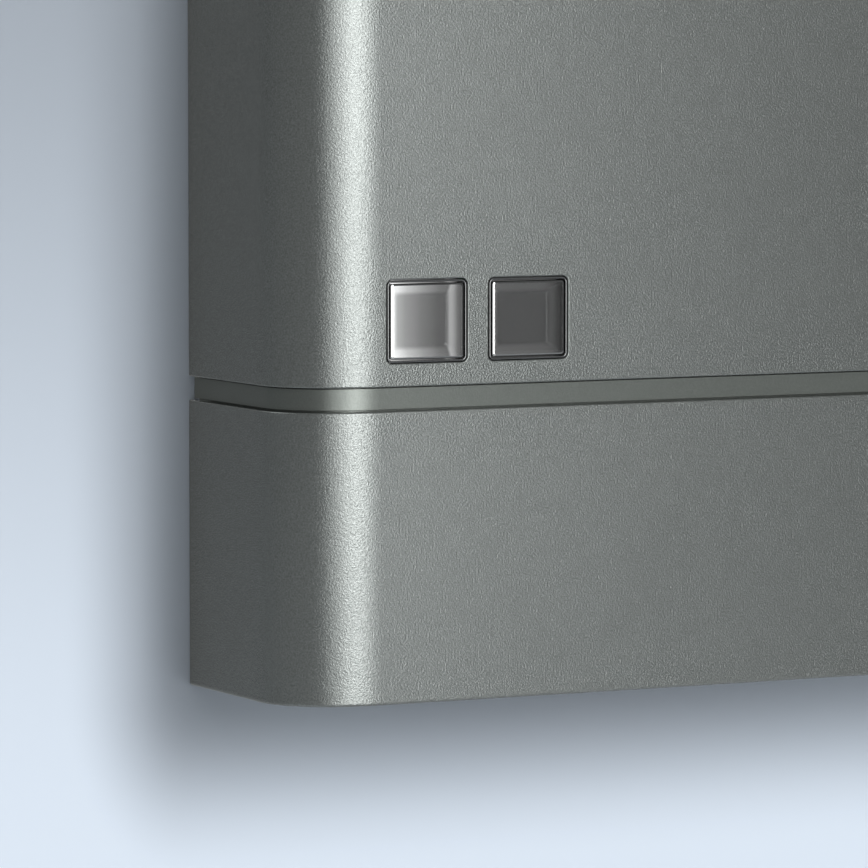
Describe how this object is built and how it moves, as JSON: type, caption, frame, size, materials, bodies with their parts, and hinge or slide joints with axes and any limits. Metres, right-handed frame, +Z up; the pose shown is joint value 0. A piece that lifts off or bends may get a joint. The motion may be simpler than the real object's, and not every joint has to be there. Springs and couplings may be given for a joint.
{
  "type": "wall battery unit",
  "caption": "Slim wall-hung battery cabinet: rounded metallic-grey covers split by a recessed band, glassy push keys, lift-off lower cover over its cable glands and breaker.",
  "frame": {"origin": "centre of the wall bracket's rear face, on the wall plane", "axes": "+X to the unit's right seen from its front, +Y into the wall, +Z up; the front faces -Y"},
  "size_m": [0.46, 0.1203, 0.68],
  "materials": {
    "grey_paint": "fine-textured metallic grey powder coat, semi-gloss",
    "zinc_steel": "bright zinc plating with faint rolling marks",
    "clear_acrylic": "polished clear acrylic",
    "black_plastic": "fine moulded texture",
    "pearl_plastic": "satin grey moulding",
    "light_plastic": "light grey moulding",
    "circuit_board": "green solder mask",
    "cell_can": "blue insulating film on aluminium",
    "rubber": "matt black",
    "brass": "plain turned brass",
    "red_insulation": "satin cable insulation",
    "dark_insulation": "satin cable insulation"
  },
  "bodies": {
    "root": {"bms_board": "circuit_board", "cell_01": "cell_can", "cell_02": "cell_can", "cell_03": "cell_can", "cell_04": "cell_can", "cell_05": "cell_can", "cell_06": "cell_can", "cell_07": "cell_can", "cell_08": "cell_can", "cell_09": "cell_can", "cell_10": "cell_can", "cell_11": "cell_can", "cell_12": "cell_can", "cell_13": "cell_can", "cell_14": "cell_can", "comm_sockets": "black_plastic", "contact_plate_lower": "light_plastic", "contact_plate_upper": "light_plastic", "cover_seal": "rubber", "dc_breaker": "light_plastic", "din_rail": "zinc_steel", "earth_stud": "brass", "gland_body_1": "black_plastic", "gland_body_2": "black_plastic", "gland_body_3": "black_plastic", "gland_nut_1": "black_plastic", "gland_nut_2": "black_plastic", "gland_nut_3": "black_plastic", "gland_plate": "zinc_steel", "key_bezel_left": "black_plastic", "key_bezel_right": "black_plastic", "key_board": "circuit_board", "key_housing": "black_plastic", "key_spring_left": "zinc_steel", "key_spring_right": "zinc_steel", "key_switch_left": "black_plastic", "key_switch_right": "black_plastic", "lead_grommet": "rubber", "main_contactor": "black_plastic", "main_fuse": "light_plastic", "mid_frame": "grey_paint", "module_tray_lower": "light_plastic", "module_tray_upper": "light_plastic", "negative_lead": "dark_insulation", "positive_lead": "red_insulation", "pressure_vent": "black_plastic", "rear_chassis": "zinc_steel", "terminal_block": "pearl_plastic", "upper_cover": "grey_paint", "upper_cover_screw_left": "zinc_steel", "upper_cover_screw_right": "zinc_steel", "wall_bracket": "zinc_steel"},
    "key_left": {"key_cap_left": "clear_acrylic", "key_plunger_left": "pearl_plastic"},
    "key_right": {"key_cap_right": "clear_acrylic", "key_plunger_right": "pearl_plastic"},
    "lower_cover": {"lower_cover": "grey_paint", "lower_cover_screw_left": "zinc_steel", "lower_cover_screw_right": "zinc_steel"},
    "breaker_toggle": {"breaker_toggle": "black_plastic"}
  },
  "joints": [
    {"name": "key_left_press", "type": "slide", "parent": "root", "child": "key_left", "axis": [0, 1, 0], "range_m": [0, 0.0015], "stiffness_N_per_m": 700, "springref_m": -0.001, "deforming": ["key_spring_left"]},
    {"name": "key_right_press", "type": "slide", "parent": "root", "child": "key_right", "axis": [0, 1, 0], "range_m": [0, 0.0015], "stiffness_N_per_m": 700, "springref_m": -0.001, "deforming": ["key_spring_right"]},
    {"name": "lower_cover_slide", "type": "slide", "parent": "root", "child": "lower_cover", "axis": [0, 0, -1], "range_m": [0, 0.15]},
    {"name": "breaker_toggle_turn", "type": "hinge", "parent": "root", "child": "breaker_toggle", "pos_m": [-0.048, -0.081, -0.372], "axis": [1, 0, 0], "range_deg": [0, 50]}
  ]
}
